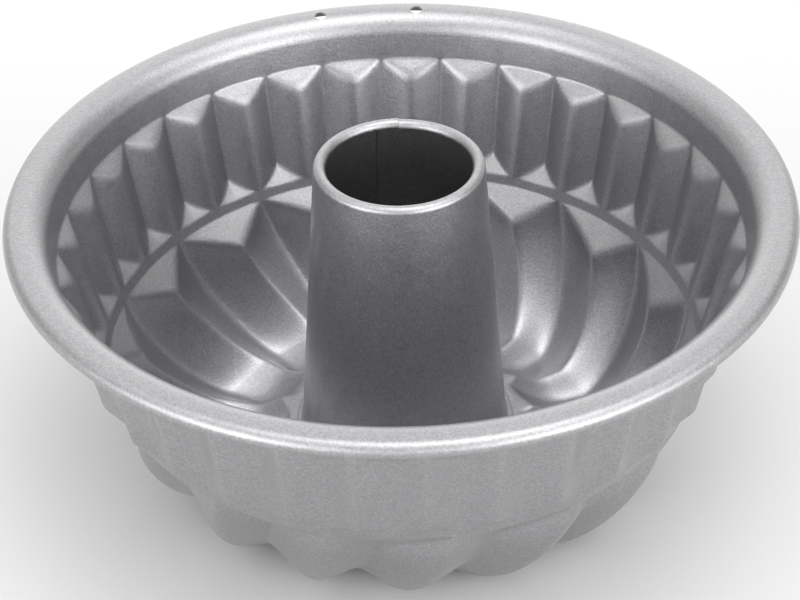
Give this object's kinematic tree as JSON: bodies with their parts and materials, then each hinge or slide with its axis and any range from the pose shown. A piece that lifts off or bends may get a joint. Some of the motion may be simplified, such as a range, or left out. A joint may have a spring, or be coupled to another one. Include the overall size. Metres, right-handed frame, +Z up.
{
  "type": "fluted tube cake pan",
  "caption": "Coated steel ring-cake pan: flat flanged rim, fluted wall, swirled bowl and a tapered open tube crimped into the middle of its floor.",
  "frame": {"origin": "on the pan's axis, at the level of the table that the bottoms of the channels stand on", "axes": "+Z up along the pan's axis, +Y towards the middle of the two hanging holes in the rim"},
  "size_m": [0.22, 0.22, 0.1018],
  "materials": {
    "body_coating": "satin metallic non-stick coating",
    "tube_coating": "satin metallic non-stick coating"
  },
  "bodies": {
    "root": {"pan_body": "body_coating", "center_tube": "tube_coating"}
  },
  "joints": []
}
